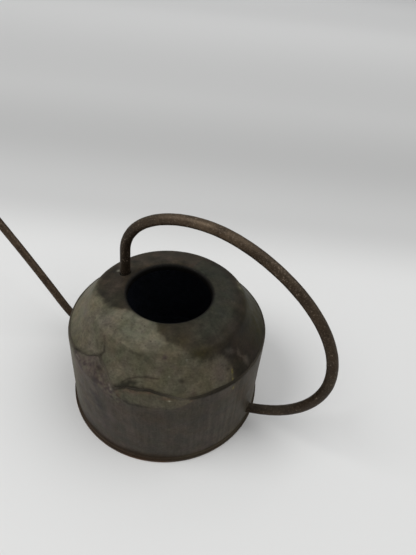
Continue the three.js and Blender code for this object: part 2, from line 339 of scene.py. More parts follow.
def body_points(azimuth, along, lift):
    """Points a lift above the inner skin's outside, one row for each azimuth."""
    azimuth = np.broadcast_to(np.atleast_1d(azimuth)[:, None], along.shape)
    place, normal = core_at(along)
    bend = round_body(azimuth, WALL_BEND)
    edge = round_body(azimuth, WALL_EDGE) + 1
    start, end = core_at(bend)[0], core_at(edge)[0]
    share = ((along - bend) / (edge - bend))[..., None]
    chord = start + (end - start) * share
    flat = np.where((share > 0) & (share < 1), round_body(azimuth, FLATTENING)[..., None], 0)
    chord_way = end - start
    chord_normal = unit(np.stack([chord_way[..., 1], -chord_way[..., 0]], axis=-1))
    place = place + flat * (chord - place)
    normal = unit(normal + flat * (chord_normal - normal))
    proud = lift + dents(azimuth, along, turned(azimuth, place[..., 0], place[..., 1]))
    place = place + proud[..., None] * normal
    return turned(azimuth, place[..., 0], place[..., 1])


# ---- Mesh making ----

SMOOTH_ANGLE = math.radians(38)
MERGE_DISTANCE = 1e-6


def add_object(name, data):
    made = bpy.data.objects.new(name, data)
    bpy.context.scene.collection.objects.link(made)
    return made


def grid_piece(name, points, tones, wrap_rows=True, wrap_columns=True):
    """A mesh over a grid of points in mm, with the tones as a colour attribute. If its rows don't
    wrap, the first and last are closed with a face."""
    rows, columns = points.shape[:2]
    index = np.arange(rows * columns).reshape(rows, columns)
    across = np.concatenate([index, index[:, :1]], axis=1) if wrap_columns else index
    down = np.concatenate([across, across[:1]], axis=0) if wrap_rows else across
    quads = np.stack([down[:-1, :-1], down[:-1, 1:], down[1:, 1:], down[1:, :-1]], axis=-1)
    faces = quads.reshape(-1, 4).tolist()
    if not wrap_rows:
        faces += [index[0][::-1].tolist(), index[-1].tolist()]
    mesh = bpy.data.meshes.new(name)
    mesh.from_pydata((points.reshape(-1, 3) * MM).tolist(), [], faces)
    colours = np.ones((rows, columns, 4))
    colours[..., :3] = tones
    layer = mesh.attributes.new("tone", "FLOAT_COLOR", "POINT")
    layer.data.foreach_set("color", colours.ravel())
    cleaned = bmesh.new()
    cleaned.from_mesh(mesh)
    bmesh.ops.remove_doubles(cleaned, verts=cleaned.verts, dist=MERGE_DISTANCE)
    bmesh.ops.recalc_face_normals(cleaned, faces=cleaned.faces)
    cleaned.to_mesh(mesh)
    cleaned.free()
    mesh.shade_smooth()
    mesh.set_sharp_from_angle(angle=SMOOTH_ANGLE)
    return add_object(name, mesh)


def finish_piece(piece, node, material):
    """Gives a piece its material and its body, and hides the CAD node that it stands for."""
    piece.data.materials.append(material)
    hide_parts(node)
    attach(piece, "root")


# ---- Colours ----

def tone(red, green, blue):
    """A colour given as 0 to 255 values for the screen, as a shader takes it under this light."""
    value = np.array([red, green, blue]) / 255
    return LIGHT_SHARE * np.where(value <= 0.04045, value / 12.92, ((value + 0.055) / 1.055) ** 2.4)


def lay(colour, mask, over):
    """The colour with another laid over it where the mask is one."""
    return colour + np.asarray(mask)[..., None] * (over - colour)


def lay_stains(colour, azimuth, along, mottle, stains):
    """Lays soft ovals of colour. Each stain is a colour, how far the mottle breaks it up, and its
    ovals, each with its share of the colour as a fifth number."""
    for over, broken, ovals in stains:
        for *oval, share in ovals:
            mask = (share + broken * mottle) * spot(azimuth, along, oval)
            colour = lay(colour, mask, over)
    return colour


LIGHT_SHARE = 0.88  # how much darker a tone is set than it comes out in the render

BRIGHT = tone(105, 102, 87)
TAN = tone(86, 82, 67)
# Painted sheen on the worn patch's far left; also a worn yellow streak on the crown's right edge.
SHEEN_AND_WORN_YELLOW = tone(108, 103, 84)
VIOLET = tone(88, 80, 73)
PLUM = tone(60, 50, 54)
OLIVE = tone(50, 45, 28)
BROWN = tone(43, 37, 30)
UMBER = tone(59, 53, 42)
DUSK = tone(60, 53, 45)
GREEN_GREY = tone(52, 53, 45)
DARK_GREY = tone(55, 52, 43)
WALL_GREY = tone(68, 62, 55)
WALL_LIGHT = tone(85, 78, 67)
RED_DARK = tone(55, 45, 35)
RUST = tone(98, 74, 62)
BRASS = tone(128, 120, 66)
LINE_DARK = tone(34, 30, 23)
PALE = tone(150, 146, 132)
# Painted shade: near-black for the mouth's inner lip and the spout's bore.
SHADE_BLACK = tone(16, 15, 13)
INSIDE = tone(92, 98, 110)
MOSS = tone(40, 37, 10)
COPPER = tone(122, 85, 58)
BAR = tone(68, 56, 43)
BAR_DARK = tone(47, 36, 26)
RUBBED = tone(146, 130, 114)
BRUISE = 0.55 * PLUM
DEEP_PLUM = 0.8 * PLUM

# The upper edge of the worn patch on the cone and crown, closed below the shoulder.
WORN_CONE = [
    (-238, 2), (-226, 16), (-210, 26), (-190, 30), (-170, 31.5), (-158, 34), (-148, 38), (-138, 42),
    (-128, 46.5), (-118, 52), (-110, 58), (-100, 64), (-71, 64), (-71, 54), (-68, 48),
    (-61, 44), (-53, 39.5), (-48, 34), (-43, 29), (-38, 25), (-31, 23), (-27, 24.5), (-22, 21),
    (-20, 12), (-19, -4), (-240, -4),
]
# The dark triangle above the pit at the left end of the flattened shoulder: painted shade in the dent.
PIT_SHADE_OUTLINE = [(-88, 1), (-85, 5), (-80, 11), (-76, 10), (-79, 7), (-72, 6), (-80, 4)]
# Where the left of the wall's edge was worked with a hammer.
HAMMERED = [(-114, 3), (-101, 5), (-93, 0), (-84, -7)]
# How dark the line along the wall's edge is, dark solder and painted shade under the edge together:
# nearly gone where the sheets were pressed flat.
EDGE_SOLDER_AND_SHADE = [
    (-180, 0.2), (-125, 0.2), (-120, 0.8), (-116, 0.35), (-110, 0.25), (-107, 0.6), (-103, 0.8),
    (-98, 0.5), (-95, 0.1), (-89, 0.1), (-87, 0.6), (-84, 1), (-66, 1), (-58, 0.7), (-53, 0.3),
    (-50, 0.3), (-47, 0.8), (-30, 1), (-18, 0.9), (-5, 0.6), (180, 0.5),
]

# The shell's stains in the order that they are laid: under the worn patch, on it and over it all.
GROUND_STAINS = [
    (OLIVE, 0, [(-36, 31, 15, 6, 1), (-48, 42, 11, 6, 0.6), (-66, 53, 8, 5, 0.5)]),
]
PATCH_STAINS = [
    (TAN, 0, [(-64, 36, 15, 4.5, 0.65)]),
    (UMBER, 0, [(-59, 34, 8, 4, 0.32)]),
]
SHELL_STAINS = [
    (SHEEN_AND_WORN_YELLOW, 0.5, [(43, 33.5, 9, 2.5, 0.75)]),
    (VIOLET, 0, [
        (-113, 37, 13, 5, 0.7), (-138, 24, 10, 4, 0.4), (-29, 13, 7, 6, 0.7),
        (-107, 29, 4, 6, 0.4), (-99, 6, 12, 5, 0.7), (-26, 12, 7, 9, 0.75)]),
    (PLUM, 0, [(-61, 30.5, 2, 1.6, 0.8), (-55, 24, 3, 1, 0.3)]),
    (BROWN, 0, [
        (-80, 30, 7, 1, 0.5), (-51, 13.5, 2.2, 1.5, 0.75), (-54, 19, 1.5, 1.2, 0.4),
        (-45, 4, 3, 1.2, 0.5), (-65, 22, 2, 1, 0.3), (-6, 16, 6, 9, 0.4)]),
    (LINE_DARK, 0, [
        (-15, 13, 4, 5, 0.3), (-16, 6, 5, 3, 0.45), (-22, 11.5, 2, 1.6, 0.6)]),
]
SHELL_FLECKS = [
    (VIOLET, 0.4, [(-17, 23, 3, 2, 0.25), (-8, 7.5, 2.2, 2, 0.6)]),
    (PALE, 0, [(-47, 28, 0.9, 0.8, 0.4), (-58, 17, 0.7, 0.7, 0.3), (-176, 49, 2, 2, 0.4)]),
    (PALE, 0.3, [(-180, 42.5, 2, 1.3, 0.6)]),
]
WALL_STAINS = [
    (UMBER, 0, [(-62, -20, 18, 10, 0.5), (-30, -14, 10, 8, 0.5)]),
    (BRUISE, 0.4, [
        (-101, -20, 3.5, 2, 0.7), (-98, -24, 4, 3, 0.8), (-97, -30, 3.5, 3, 0.8),
        (-106, -28, 2.5, 2, 0.6)]),
    (BRUISE, 0, [(-93, -37, 3, 5, 0.3), (-118, 2.5, 3, 1.2, 0.9)]),
    (TAN, 0, [(-57, -34, 2, 1.5, 0.5), (-46, -45, 2, 2, 0.5), (-70, -9.5, 16, 1.2, 0.3)]),
]
WALL_RUST = [
    (RUST, 0, [(-84, -2.5, 2, 3, 0.45), (-60, 1.5, 5, 1.2, 0.35), (-47.5, 1, 2, 0.8, 0.4)]),
]
WALL_FLECKS = [
    (BROWN, 0, [(-99, 7.5, 4, 2.4, 0.6), (-93, 3, 2, 1.5, 0.4)]),
    (PALE, 0, [
        (-57.5, 0, 0.8, 0.6, 0.9), (-88, 0, 0.8, 1.2, 0.4), (-89.5, 2, 0.9, 0.8, 0.35),
        (-48, 0.5, 0.7, 0.5, 0.3), (-116, 2, 3, 0.6, 0.35)]),
]


def hued(colour, points):
    """The colour leaning a little towards red and green in patches."""
    redder = cloud(points, 9, 3)[..., None]
    greener = cloud(points, 5, 2)[..., None]
    return colour * (1 + redder * (0.06, 0, 0.02) + greener * (-0.02, 0.02, -0.02))


def shell_ground(azimuth, along, medium, broad):
    """The shell's dark skin: green-grey on the right of the crown, brown below it, with painted shade
    along the crease on the right.
    """
    right = ramp(-44, -18, azimuth + 8 * medium)
    colour = lay(DARK_GREY, right * ramp(28, 40, along + 3 * medium), GREEN_GREY)
    colour = lay(colour, 0.9 * spot(azimuth, along, (-54, 52, 26, 9)), UMBER)
    colour = lay(colour, 0.8 * ramp(-136, -150, azimuth + 6 * medium), DUSK)
    low = ramp(42, 28, along + 4 * medium) * ramp(-34, -22, azimuth)
    colour = lay(colour, low, BROWN * (1 - 0.28 * ramp(-18, 4, azimuth))[..., None])
    colour = lay_stains(colour, azimuth, along, medium, GROUND_STAINS)
    colour = lay(colour, 0.35 * ramp(0.1, 0.8, broad), UMBER)
    # Painted shade: a brown band along the crown's crease on the right tones down the light that the
    # crease catches.
    return lay(colour, 0.6 * ramp(-38, -24, azimuth) * bell(along, 36, 5), BROWN)


def add_worn_patch(colour, azimuth, along, fine, medium, broad):
    """Lays the tan patch, with a painted highlight on its top and painted sheen on its far side, and
    mottles the shell.
    """
    worn = inside(azimuth, along, WORN_CONE) + 1.5 * medium + 0.8 * fine
    worn_through = ramp(-1.5, 5, worn)
    colour = lay(colour, ramp(-3, 3.5, worn), TAN)
    # Painted highlight: the top of the worn patch, the crown's band above the crease, is laid bright
    # for the light it catches.
    front = ramp(-108, -84, azimuth)
    top = ramp(29 + 4 * front, 38 + 3 * front, along + 3 * medium)
    top = top * ramp(-134, -112, azimuth + 5 * medium)
    colour = lay(colour, 0.95 * top * worn_through, BRIGHT)
    # Painted sheen: the far left of the worn patch is laid yellow for the light from the left and
    # behind.
    far = ramp(-112, -150, azimuth + 6 * broad)
    colour = lay(colour, 0.9 * far * worn_through, SHEEN_AND_WORN_YELLOW)
    colour = lay(colour, 0.35 * ramp(0.15, 0.7, medium) * worn_through, BRIGHT)
    colour = lay_stains(colour, azimuth, along, medium, PATCH_STAINS)
    colour = lay(colour, 0.22 * ramp(0.2, 0.9, -medium) * worn_through, UMBER)
    mottle = 0.13 * fine + 0.22 * medium * (1 - worn_through) + 0.12 * medium * far
    return colour * (1 + mottle)[..., None]


def add_shell_marks(colour, azimuth, along, points, fine, medium):
    """Lays the shell's moss-green right side, its stains, painted shade in its folds and in the dent
    above the pit, and its brass fleck.
    """
    mossy = ramp(-4, 24, azimuth) * ramp(84, 60, azimuth)
    mossy = mossy * ramp(37, 28, along + 2 * medium)
    colour = lay(colour, mossy, MOSS * (1 + 0.35 * medium)[..., None])
    colour = lay_stains(colour, azimuth, along, fine, SHELL_STAINS)
    # Painted shade: the dent above the pit is laid nearly black.
    pit_shade = ramp(-1.8, 1, inside(azimuth, along, PIT_SHADE_OUTLINE) + 0.9 * fine)
    colour = lay(colour, 0.9 * pit_shade, 0.75 * LINE_DARK + 0.25 * GREEN_GREY)
    # Painted shade: brown lines along the fold up the cone and the thin crease, where the grooves lie
    # in shade.
    fold = near_line(azimuth, along, FOLD_UP_THE_CONE)
    colour = lay(colour, 0.75 * ramp(36, 20, along) * bell(fold, 0, 0.9), BROWN)
    colour = lay(colour, 0.7 * bell(near_line(azimuth, along, THIN_CREASE), 0, 0.7), BROWN)
    streak = near_line(azimuth, along, RIGHT_FOLD) + 2.2 * fine
    colour = lay(colour, 0.42 * ramp(3.4, 0, streak), VIOLET)
    colour = lay_stains(colour, azimuth, along, fine, SHELL_FLECKS)
    fleck = near_line(azimuth, along, BRASS_FLECK) + 0.5 * medium
    broken = np.clip(0.45 + 1.3 * cloud(points, 2, 2), 0, 1)
    return lay(colour, 0.8 * ramp(1.0, 0.3, fleck) * broken, BRASS)


def shell_tones(azimuth, along, points):
    """The shell's patina: worn tan on the spout's side and in front, darker elsewhere."""
    azimuth = on_chart(azimuth)[:, None]
    fine = cloud(points, 3.5, 2)
    medium = cloud(points, 9, 3)
    broad = cloud(points, 26, 2)
    colour = shell_ground(azimuth, along, medium, broad)
    colour = add_worn_patch(colour, azimuth, along, fine, medium, broad)
    colour = add_shell_marks(colour, azimuth, along, points, fine, medium)
    edge = round_body(azimuth, WALL_EDGE)
    solder_and_shade = round_body(azimuth, EDGE_SOLDER_AND_SHADE)
    # Painted shade with the dark solder: a dark line on the cone just above the wall's edge.
    line = 0.72 * solder_and_shade * bell(along, edge + 0.8, 1.5 + 0.5 * medium)
    return hued(lay(colour, line, LINE_DARK), points)


def wall_ground(azimuth, along, points, fine, medium):
    """The wall's violet-grey skin with painted sheen making it lighter at the sides, streaked, with a
    red foot.
    """
    upright = points * (1, 1, 0.07)
    left = ramp(-92, -124, azimuth + 5 * medium)
    right = ramp(-40, -6, azimuth + 4 * medium)
    streaks = 1.1 * cloud(upright, 1.8, 1) + 0.4 * cloud(upright, 5, 2)
    # Painted sheen: the left and right sides are laid lighter for the brighter room reflected there.
    colour = lay(WALL_GREY, 0.8 * left, WALL_LIGHT)
    far_left = ramp(-112, -124, azimuth) * ramp(-60, -45, along)
    colour = lay(colour, 0.4 * far_left, BRIGHT)
    colour = lay(colour, 0.55 * right, WALL_LIGHT)
    rough_side = ramp(-75, -30, azimuth)
    colour = colour * (1 + (0.07 + 0.08 * rough_side) * streaks)[..., None]
    colour = colour * (1 + 0.08 * medium + 0.1 * fine)[..., None]
    colour = lay(colour, 0.5 * ramp(0.1, 0.8, medium) * ramp(-60, -100, azimuth), VIOLET)
    colour = lay_stains(colour, azimuth, along, fine, WALL_STAINS)
    foot = ramp(-66 + 4 * left, -73, along + 2 * medium)
    foot = foot * (0.95 - 0.9 * ramp(-64, -44, azimuth))
    lit_foot = ramp(-62, -74, along) * ramp(-60, -35, azimuth)
    colour = colour * (1 + 0.35 * lit_foot)[..., None]
    browner = np.stack([0.3 * left, 0.35 * left, 0.55 * left], axis=-1)
    return lay(colour, foot, RED_DARK * (1 - browner))


def add_facet(colour, azimuth, along, fine, medium):
    """Lays the tan facet where the shoulder was beaten flat, its tan partly patina and partly painted
    light that the tilted facet catches, with rust along its edge.
    """
    edge = round_body(azimuth, WALL_EDGE)
    bend = round_body(azimuth, WALL_BEND)
    solder_and_shade = round_body(azimuth, EDGE_SOLDER_AND_SHADE)
    facet = ramp(bend - 1, bend + 3, along + fine) * ramp(-88, -84, azimuth + fine)
    facet = facet * ramp(-43, -48, azimuth)
    # Partly painted light: the tilted facet is laid tan and a little bright for the light it catches.
    colour = lay(colour, 0.9 * facet, TAN)
    colour = lay(colour, 0.2 * facet * ramp(0, 0.8, medium), BRIGHT)
    rust = (0.25 + 0.4 * fine) * facet * solder_and_shade * bell(edge - along, 1.3, 1.3)
    colour = lay(colour, rust, RUST)
    colour = lay_stains(colour, azimuth, along, fine, WALL_RUST)
    lower_rim = bell(along, bend, 1.1) * ramp(-88, -84, azimuth)
    return lay(colour, 0.5 * lower_rim * ramp(-62, -74, azimuth), BROWN)


def add_leaning_side(colour, azimuth, along, points, fine):
    """Lays the mottles at the left, where the wall was hammered over the cone."""
    edge = round_body(azimuth, WALL_EDGE)
    lean = ramp(-120, -112, azimuth) * ramp(-86, -92, azimuth) * ramp(-2, 3, along)
    colour = lay(colour, 0.75 * lean, 0.55 * (VIOLET + WALL_LIGHT))
    blotch = cloud(points, 2.6, 2)
    hammered = bell(near_line(azimuth, along, HAMMERED), 0, 6)
    colour = lay(colour, 0.5 * hammered * ramp(0, 0.6, blotch), BRIGHT)
    colour = lay(colour, 0.65 * hammered * ramp(0, 0.6, -blotch), DEEP_PLUM)
    dark_side = ramp(-84, -98, azimuth) * ramp(-122, -114, azimuth)
    colour = lay(colour, 0.45 * dark_side * ramp(0, 0.7, -cloud(points, 6, 3)), DEEP_PLUM)
    near_edge = bell(edge - along, 0, 3) * ramp(-99, -95, azimuth) * ramp(-86, -90, azimuth)
    return lay(colour, 0.8 * near_edge * ramp(-0.4, 0.4, fine), TAN)


def wall_tones(azimuth, along, points):
    """The wall's patina, with the flat facet of its shoulder and the hammered side."""
    azimuth = on_chart(azimuth)[:, None]
    fine = cloud(points, 3.5, 2)
    medium = cloud(points, 9, 3)
    colour = wall_ground(azimuth, along, points, fine, medium)
    colour = add_facet(colour, azimuth, along, fine, medium)
    colour = add_leaning_side(colour, azimuth, along, points, fine)
    colour = lay_stains(colour, azimuth, along, fine, WALL_FLECKS)
    colour = lay(colour, 0.8 * spot(azimuth, along, (SEAM_AZIMUTH - 1, -4.6, 0.9, 1.6)), BRASS)
    right_top = ramp(-18, -5, azimuth) * ramp(-12, -3, along)
    colour = lay(colour, 0.7 * right_top, UMBER)
    # Painted shade with the dark solder: a dark line on the wall just below its edge.
    near_edge = ramp(1.0, 0.1, round_body(azimuth, WALL_EDGE) - along)
    return hued(lay(colour, 0.6 * round_body(azimuth, EDGE_SOLDER_AND_SHADE) * near_edge, LINE_DARK), points)


# ---- Materials ----

EDGE_TINT = (0.63, 0.61, 0.57, 1)  # what the dull metal reflects where it turns away


class Surface:
    """A procedural metal whose colour is the tone attribute, varied by noise."""

    def __init__(self, name, metallic, roughness, gloss=0.25):
        self.material = bpy.data.materials.new(name)
        self.material.use_nodes = True
        self.tree = self.material.node_tree
        self.shader = self.tree.nodes["Principled BSDF"]
        self.shader.inputs["Metallic"].default_value = metallic
        self.shader.inputs["Roughness"].default_value = roughness
        self.shader.inputs["Specular IOR Level"].default_value = gloss
        self.shader.inputs["Specular Tint"].default_value = EDGE_TINT
        self.place = self.add("ShaderNodeTexCoord").outputs["Object"]
        attribute = self.add("ShaderNodeAttribute")
        attribute.attribute_name = "tone"
        self.recolour(attribute.outputs["Color"])
        self.normal = None

    def add(self, kind):
        return self.tree.nodes.new(kind)

    def link(self, source, target):
        self.tree.links.new(source, target)

    def recolour(self, output):
        self.colour = output
        self.link(output, self.shader.inputs["Base Color"])

    def noise(self, size, stretch=(1, 1, 1), detail=3, distortion=0):
        """Noise from 0 to 1 with features of a size in mm, drawn out along axes by the stretch."""
        mapping = self.add("ShaderNodeMapping")
        mapping.inputs["Scale"].default_value = [1 / (size * MM * way) for way in stretch]
        self.link(self.place, mapping.inputs["Vector"])
        noise = self.add("ShaderNodeTexNoise")
        noise.inputs["Scale"].default_value = 1
        noise.inputs["Detail"].default_value = detail
        noise.inputs["Distortion"].default_value = distortion
        self.link(mapping.outputs["Vector"], noise.inputs["Vector"])
        return noise.outputs["Fac"]

    def between(self, source, low, high, to_low, to_high):
        """The source, from low to high, moved to the range from to_low to to_high."""
        scale = self.add("ShaderNodeMapRange")
        names = ("From Min", "From Max", "To Min", "To Max")
        for name, value in zip(names, (low, high, to_low, to_high)):
            scale.inputs[name].default_value = value
        self.link(source, scale.inputs["Value"])
        return scale.outputs["Result"]

    def stain(self, mask, colour, how="MIX"):
        """Mixes a colour in where the mask is one."""
        mix = self.add("ShaderNodeMix")
        mix.data_type = "RGBA"
        mix.blend_type = how
        self.link(mask, mix.inputs["Factor"])
        self.link(self.colour, mix.inputs["A"])
        mix.inputs["B"].default_value = (*colour, 1)
        self.recolour(mix.outputs["Result"])

    def vary(self, source, darkest, lightest):
        """Darkens and lightens the colour with the source, which is about 0.3 to 0.7."""
        factor = self.between(source, 0.3, 0.7, darkest, lightest)
        scale = self.add("ShaderNodeVectorMath")
        scale.operation = "SCALE"
        self.link(self.colour, scale.inputs[0])
        self.link(factor, scale.inputs["Scale"])
        self.recolour(scale.outputs["Vector"])

    def roughen(self, source, low, high):
        self.link(self.between(source, 0.3, 0.7, low, high), self.shader.inputs["Roughness"])

    def relief(self, source, depth):
        """Raises the surface by up to a depth in mm with the source."""
        bump = self.add("ShaderNodeBump")
        bump.inputs["Distance"].default_value = depth * MM
        self.link(source, bump.inputs["Height"])
        if self.normal:
            self.link(self.normal, bump.inputs["Normal"])
        self.normal = bump.outputs["Normal"]
        self.link(self.normal, self.shader.inputs["Normal"])


def patina(name, streak_stretch):
    """Dull old brass: mottled, finely pitted, with faint brush marks along the stretch."""
    surface = Surface(name, metallic=0.35, roughness=0.5)
    streaks = surface.noise(0.9, streak_stretch, detail=4)
    mottle = surface.noise(7, detail=5, distortion=0.6)
    grain = surface.noise(1.8, detail=2)
    pits = surface.noise(2.2, detail=4)
    surface.vary(streaks, 0.9, 1.1)
    surface.vary(mottle, 0.82, 1.18)
    surface.vary(grain, 0.84, 1.16)
    warm = surface.between(surface.noise(16), 0.45, 0.62, 0, 0.3)
    surface.stain(warm, (1.0, 0.86, 0.66), "MULTIPLY")
    surface.stain(surface.between(pits, 0.66, 0.72, 0, 0.6), tuple(BROWN))
    surface.roughen(mottle, 0.46, 0.6)
    surface.relief(mottle, 0.12)
    surface.relief(streaks, 0.05)
    surface.relief(grain, 0.02)
    return surface.material


def bar_brown(name):
    """A drawn bar with a brown skin, worn lighter in specks."""
    surface = Surface(name, metallic=0.45, roughness=0.5)
    mottle = surface.noise(3.5, detail=5, distortion=0.4)
    grain = surface.noise(0.7)
    specks = surface.noise(1.5)
    scratches = surface.noise(0.8)
    surface.vary(mottle, 0.72, 1.24)
    surface.vary(grain, 0.85, 1.15)
    surface.stain(surface.between(specks, 0.62, 0.72, 0, 0.55), tuple(RUBBED))
    surface.stain(surface.between(scratches, 0.56, 0.68, 0, 0.3), tuple(RUBBED))
    surface.roughen(mottle, 0.4, 0.6)
    surface.relief(mottle, 0.1)
    surface.relief(grain, 0.03)
    return surface.material


def solder(name):
    """Lumpy dark solder."""
    surface = Surface(name, metallic=0.4, roughness=0.55)
    lumps = surface.noise(2.5)
    surface.vary(lumps, 0.8, 1.2)
    surface.roughen(lumps, 0.45, 0.65)
    surface.relief(lumps, 0.15)
    return surface.material


def dull_braze(name):
    """Braze gone matt, round the joints of the bar and the spout."""
    surface = Surface(name, metallic=0, roughness=0.75, gloss=0.08)
    lumps = surface.noise(2)
    surface.vary(lumps, 0.75, 1.25)
    surface.relief(lumps, 0.12)
    return surface.material


def copper(name):
    """The hemmed rim: copper-brown with a rubbed edge."""
    surface = Surface(name, metallic=0.6, roughness=0.45)
    mottle = surface.noise(5, detail=5)
    grain = surface.noise(0.9)
    surface.vary(mottle, 0.8, 1.2)
    surface.vary(grain, 0.9, 1.1)
    surface.roughen(mottle, 0.38, 0.56)
    surface.relief(mottle, 0.08)
    return surface.material


# ---- The pieces ----

SHELL_ROWS = (84, 38)  # rows up the shell's outer face, and down its inner face
WALL_FINE_FROM = -14  # the wall's rows follow its uneven edge from here up,
WALL_ROWS = 30  # in this many steps,
WALL_ROW = 1.1  # and are this far apart below, three times that at the back
WALL_INSIDE = 80.8  # radius of the wall's inner face, where the handle's end stops
PAN_COLUMNS = 360
BAR_STEP = 1.1
BAR_SIDES = 40
SPOUT_SIDES = 36
FILLET_SIDES = 56
FILLET_SEARCH = 12  # the body's face is sought this far up and down from a fillet's foot
HALVINGS = 40
HANDLE_FOOT = (-43, 108.4)  # where the bar and the tube start, as (x, z)
SPOUT_ROOT = (-77.5, 15)
LOW_END, HIGH_END = 40, 115  # the bar's two ends at the body are below these heights
SINK = 0.4  # how deep its upper end may be in the crown
CROWN_SPAN = (20, 54)  # the stretch up the body's face that a point is over,
WALL_TOP = -2  # the one below this that it is off,
CONE_HEIGHT = 90  # and the height that tells which
LIP_SHADE = (56.6, 59)  # the lip is laid near-black between these, as painted shade inside the mouth
SHOULDER_RING = turned(AZIMUTHS, 80, 80)


def sheet_points(azimuths, outer_along, inner_along, face_lift):
    """A sheet as a grid: each row goes up its outer face, over its edge and down its inside."""
    rows = len(azimuths)
    outer = np.broadcast_to(outer_along, (rows, outer_along.shape[-1]))
    inner = np.broadcast_to(inner_along, (rows, inner_along.shape[-1]))
    edge = outer[:, -1:] + 0.2
    return np.concatenate([
        body_points(azimuths, outer, face_lift),
        body_points(azimuths, edge, face_lift - SHEET / 2),
        body_points(azimuths, inner, face_lift - SHEET)], axis=1)


def with_dark_back(front, azimuths, columns):
    """Tones of a sheet: the given ones on its front and edge, and blue-grey on its back, with painted
    sheen making the back lighter towards the handle's side and the spout's side.
    """
    back = np.broadcast_to(0.5 * INSIDE, (front.shape[0], columns - front.shape[1] - 1, 3))
    # Painted sheen: lighter arcs inside towards azimuths 0 and 180.
    back = lay(back, np.cos(np.radians(azimuths))[:, None] ** 2, 1.2 * INSIDE)
    return np.concatenate([front, front[:, -1:], back], axis=1)


def make_top_shell():
    azimuths = np.linspace(0, 360, BODY_COLUMNS, endpoint=False)
    outer = np.linspace(FLANGE_END, LIP_END, SHELL_ROWS[0])
    inner = np.linspace(LIP_END - 0.2, FLANGE_END, SHELL_ROWS[1])
    points = sheet_points(azimuths, outer, inner, 0)
    front = shell_tones(azimuths, outer[None], points[:, :len(outer)])
    # Painted shade: the lip darkens where it turns into the mouth.
    front = lay(front, ramp(*LIP_SHADE, outer)[None], SHADE_BLACK)
    tones = with_dark_back(front, azimuths, points.shape[1])
    return grid_piece("top_shell_worn", points, tones)


def make_wall():
    edge = round_body(AZIMUTHS, WALL_EDGE) + 0.25 * cloud(SHOULDER_RING, 6, 2)
    low = np.tile(np.arange(WALL_FOOT, WALL_FINE_FROM, WALL_ROW), (len(edge), 1))
    high = WALL_FINE_FROM + np.linspace(0, 1, WALL_ROWS) * (edge[:, None] - WALL_FINE_FROM)
    outer = np.hstack([low, high])
    inner = np.hstack([high[:, ::-1], low[:, ::-3]])
    points = sheet_points(AZIMUTHS, outer, inner, LAP)
    front = wall_tones(AZIMUTHS, outer, points[:, :outer.shape[1]])
    tones = with_dark_back(front, AZIMUTHS, points.shape[1])
    return grid_piece("body_wall_brushed", points, tones, wrap_rows=False)


def make_wall_seam():
    """The brazed strip that fills the wall's seam, filed flush with it."""
    top = float(round_body(np.array([SEAM_AZIMUTH]), WALL_EDGE)[0])
    along = np.arange(WALL_FOOT, top, 0.5)[None]
    middle = body_points(np.array([SEAM_AZIMUTH]), along, LAP)[0]
    outward = turned(SEAM_AZIMUTH, 1, 0)
    across = turned(SEAM_AZIMUTH + 90, 1, 0)
    half = SEAM_HALF_WIDTH + 0.02
    section = [(-half, -SHEET), (-half, 0.01), (0, 0.02), (half, 0.01), (half, -SHEET)]
    points = np.stack([middle + side * across + out * outward for side, out in section], axis=1)
    tones = wall_tones(np.full(1, SEAM_AZIMUTH), along, middle[None])[0]
    return grid_piece("wall_seam_strip", points, tones[:, None], wrap_rows=False)


def make_shoulder_solder():
    """The solder along the wall's edge: a low bead, thin where the sheets were pressed flat."""
    edge = round_body(AZIMUTHS, WALL_EDGE)[:, None]
    solder_and_shade = round_body(AZIMUTHS, EDGE_SOLDER_AND_SHADE)[:, None]
    wide = 0.6 + 0.3 * solder_and_shade + 0.4 * cloud(SHOULDER_RING, 7, 2)[:, None]
    wide = wide + 0.6 * bell(AZIMUTHS % 360, 330, 9)[:, None]
    section = np.array([
        (-0.2, 0.9), (0.25, 0.95), (0.6, 0.7), (1.0, 0.4), (1.5, 0.1), (1.5, -0.2), (-0.2, -0.2)])
    points = body_points(AZIMUTHS, edge + wide * section[:, 0], section[:, 1])
    # The bead is dark solder, laid darker still where the line along the edge is painted shade.
    tones = lay(1.25 * LINE_DARK, 1 - solder_and_shade, 0.45 * (TAN + VIOLET))
    return grid_piece("shoulder_solder_line", points, tones)


def make_base_pan():
    """The pan, from the middle of its underside round the hem and back to its middle."""
    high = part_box("base_pan")[1]
    rim, height = high.x / MM, high.z / MM
    outline = [
        (0, 0.4), (rim - 9, 0.4), (rim - 6.5, 0), (rim - 0.6, 0), (rim, 0.6), (rim, height - 0.7),
        (rim - 0.7, height), (rim - 1.2, height - 0.2), (rim - 1.5, height - 1), (rim - 1.55, 0.85),
        (rim - 6.5, 0.8), (rim - 9, 1.2), (0, 1.2)]
    line = soften(outline, step=0.35, rounding=0.5)
    near_rim = line[:, 0] >= rim - 12
    kept = near_rim | (np.arange(len(line)) % 8 == 0)
    kept[[0, -1]] = True
    line = line[kept]
    line[[0, -1], 0] = 0
    azimuths = np.linspace(0, 360, PAN_COLUMNS, endpoint=False)
    radius, z = line[:, 0], line[:, 1]
    points = turned(azimuths[:, None], radius, z)
    hem = ramp(rim - 2.5, rim - 1, radius) * ramp(0.3, 1.5, z)
    inward = hem * (0.12 + 0.12 * cloud(points, 14, 2)) + 0.06 * hem
    points = turned(azimuths[:, None], radius - np.maximum(inward, 0), z)
    tones = lay(COPPER, 0.3 + 0.4 * cloud(points, 9, 2), RED_DARK)
    tones = lay(tones, 0.9 * ramp(1.0, 2.4, z), 0.6 * RED_DARK)
    tones = lay(tones, 0.6 * ramp(-75, -45, on_chart(azimuths))[:, None], UMBER)
    tones = lay(tones, (z > 0.75) & (radius < rim - 1.4), INSIDE)
    return grid_piece("base_pan_hemmed", points, tones, wrap_columns=False)


